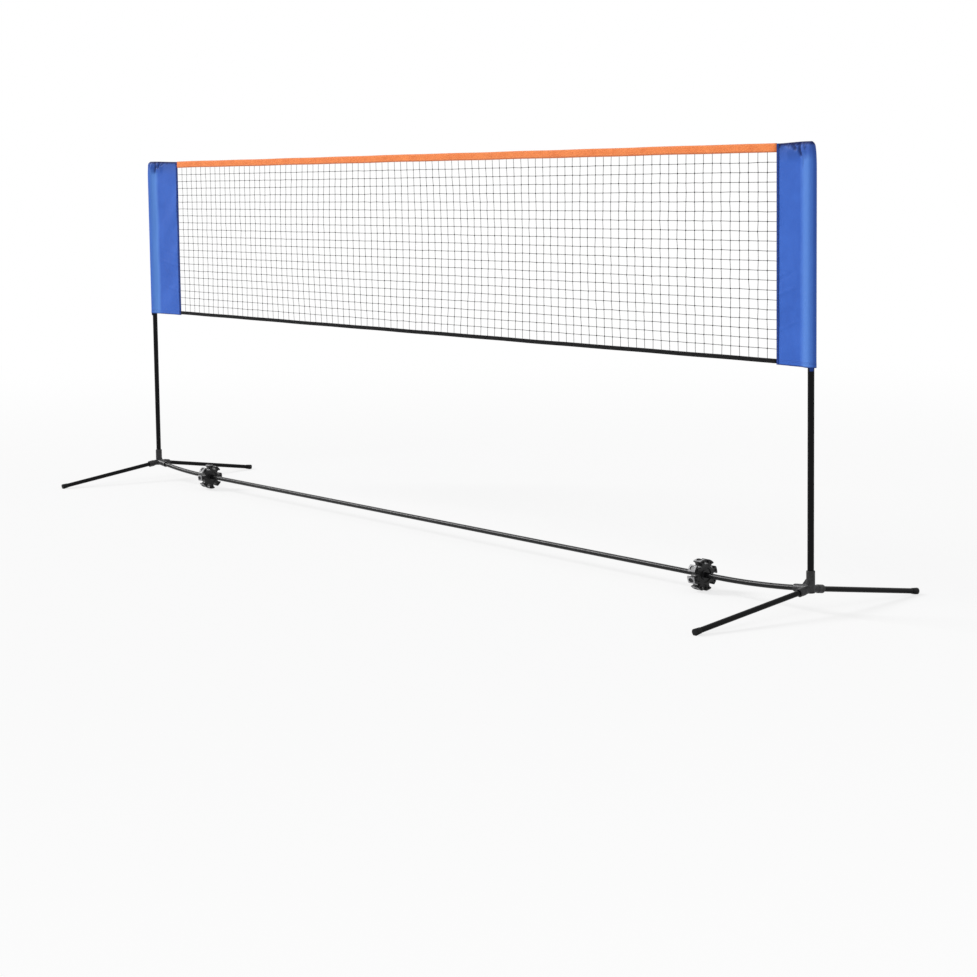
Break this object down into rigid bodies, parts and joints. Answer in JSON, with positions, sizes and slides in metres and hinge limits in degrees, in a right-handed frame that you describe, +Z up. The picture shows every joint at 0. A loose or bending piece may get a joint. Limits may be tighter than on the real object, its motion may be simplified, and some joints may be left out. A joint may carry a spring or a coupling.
{
  "type": "volleyball net on poles",
  "caption": "Portable free-standing net on two telescopic poles with a floor bar, splayed legs, cloth sleeves and a taped net; the net's height adjusts.",
  "frame": {"origin": "on the floor, midway between the two poles", "axes": "+X along the net towards the pole with the narrow sleeve, -Y the front, +Z up"},
  "size_m": [4.448, 1.0466, 1.55],
  "materials": {
    "black_tube": "black powder-coated steel, satin",
    "dark_plastic": "moulded charcoal plastic, fine texture",
    "spring_steel": "plain spring steel",
    "blue_cloth": "woven polyester, mid blue",
    "orange_tape": "folded webbing, light orange",
    "black_cord": "knotted cord and bound hem, black"
  },
  "bodies": {
    "base": {"leg_right_front": "black_tube", "leg_right_rear": "black_tube", "leg_left_front": "black_tube", "leg_left_rear": "black_tube", "bar_outer_right": "black_tube", "bar_outer_left": "black_tube", "bar_section_1": "black_tube", "bar_section_2": "black_tube", "bar_section_3": "black_tube", "bar_section_4": "black_tube", "lower_post_right": "black_tube", "lower_post_left": "black_tube", "connector_right": "dark_plastic", "connector_left": "dark_plastic", "foot_cap_right_front": "dark_plastic", "foot_cap_right_rear": "dark_plastic", "foot_cap_left_front": "dark_plastic", "foot_cap_left_rear": "dark_plastic"},
    "net_carriage": {"upper_post_right": "black_tube", "upper_post_left": "black_tube", "pole_cap_right": "dark_plastic", "pole_cap_left": "dark_plastic", "sleeve_right": "blue_cloth", "sleeve_left": "blue_cloth", "top_tape": "orange_tape", "bottom_hem": "black_cord", "net_mesh": "black_cord", "button_spring_right": "spring_steel", "button_spring_left": "spring_steel"},
    "button_right": {"height_button_right": "spring_steel"},
    "button_left": {"height_button_left": "spring_steel"},
    "holder_right": {"tube_holder_right": "dark_plastic"},
    "holder_left": {"tube_holder_left": "dark_plastic"}
  },
  "joints": [
    {"name": "height_slide", "type": "slide", "parent": "base", "child": "net_carriage", "axis": [0, 0, 1], "range_m": [-0.6, 0]},
    {"name": "height_button_right_press", "type": "slide", "parent": "net_carriage", "child": "button_right", "axis": [0, -1, 0], "range_m": [0, 0.0035], "stiffness_N_per_m": 600, "springref_m": -0.003, "deforming": ["button_spring_right"]},
    {"name": "height_button_left_press", "type": "slide", "parent": "net_carriage", "child": "button_left", "axis": [0, -1, 0], "range_m": [0, 0.0035], "stiffness_N_per_m": 600, "springref_m": -0.003, "deforming": ["button_spring_left"]},
    {"name": "holder_right_turn", "type": "hinge", "parent": "base", "child": "holder_right", "pos_m": [1.681, 0, 0.06], "axis": [1, 0, 0], "continuous": true},
    {"name": "holder_left_turn", "type": "hinge", "parent": "base", "child": "holder_left", "pos_m": [-1.707, 0, 0.06], "axis": [1, 0, 0], "continuous": true}
  ]
}
